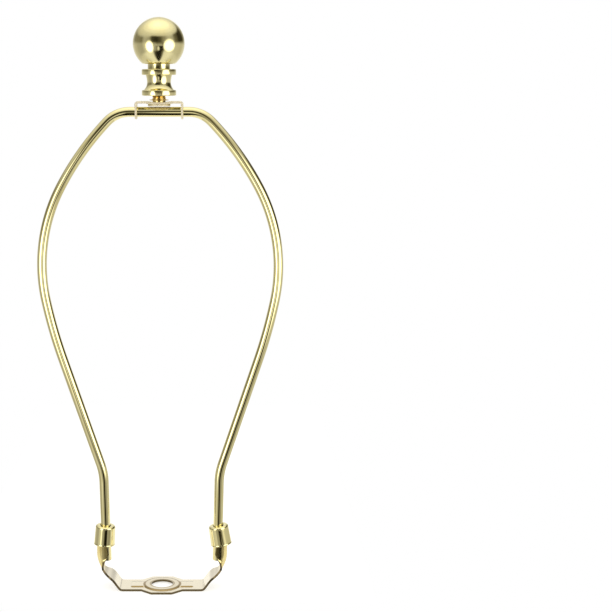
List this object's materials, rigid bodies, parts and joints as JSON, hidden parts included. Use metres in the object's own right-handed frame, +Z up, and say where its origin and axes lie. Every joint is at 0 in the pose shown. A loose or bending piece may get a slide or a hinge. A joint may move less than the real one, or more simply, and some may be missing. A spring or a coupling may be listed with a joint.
{
  "type": "lamp harp",
  "caption": "Detachable lamp harp: sprung wire loop on a slip saddle, held by locking sleeves, with a swivel bracket, threaded stud and ball finial on top.",
  "frame": {"origin": "on the axis of the saddle's pipe hole, at the underside of the saddle's base", "axes": "+Z up along the pipe hole's axis towards the finial, X along the saddle strip, and the flat of the wire loop in the X-Z plane"},
  "size_m": [0.1134, 0.0234, 0.267],
  "materials": {
    "plated_wire": "polished",
    "plated_sheet": "polished",
    "turned_brass": "polished"
  },
  "bodies": {
    "saddle": {"saddle": "plated_sheet"},
    "loop": {"harp_wire": "plated_wire"},
    "left_sleeve": {"sleeve_left": "plated_sheet"},
    "right_sleeve": {"sleeve_right": "plated_sheet"},
    "bracket": {"swivel_bracket": "plated_sheet"},
    "stud": {"threaded_stud": "plated_sheet"},
    "finial": {"finial_base": "turned_brass", "finial_ball": "turned_brass"}
  },
  "joints": [
    {"name": "harp_lift", "type": "slide", "parent": "saddle", "child": "loop", "axis": [0, 0, 1], "range_m": [0, 0.02]},
    {"name": "left_sleeve_slide", "type": "slide", "parent": "loop", "child": "left_sleeve", "axis": [-0.0227, 0, 0.9997], "range_m": [0, 0.016]},
    {"name": "right_sleeve_slide", "type": "slide", "parent": "loop", "child": "right_sleeve", "axis": [0.0227, 0, 0.9997], "range_m": [0, 0.016]},
    {"name": "bracket_swivel", "type": "hinge", "parent": "loop", "child": "bracket", "pos_m": [0, 0, 0.2248], "axis": [1, 0, 0], "continuous": true},
    {"name": "finial_turn", "type": "hinge", "parent": "bracket", "child": "stud", "pos_m": [0, 0, 0.2296], "axis": [0, 0, 1], "range_deg": [0, 2880]},
    {"name": "finial_lift", "type": "slide", "parent": "stud", "child": "finial", "axis": [0, 0, 1], "range_m": [0, 0.00752]}
  ],
  "couplings": [
    {"joint": "finial_turn", "follows": "finial_lift", "rad_per_m": 6679}
  ]
}
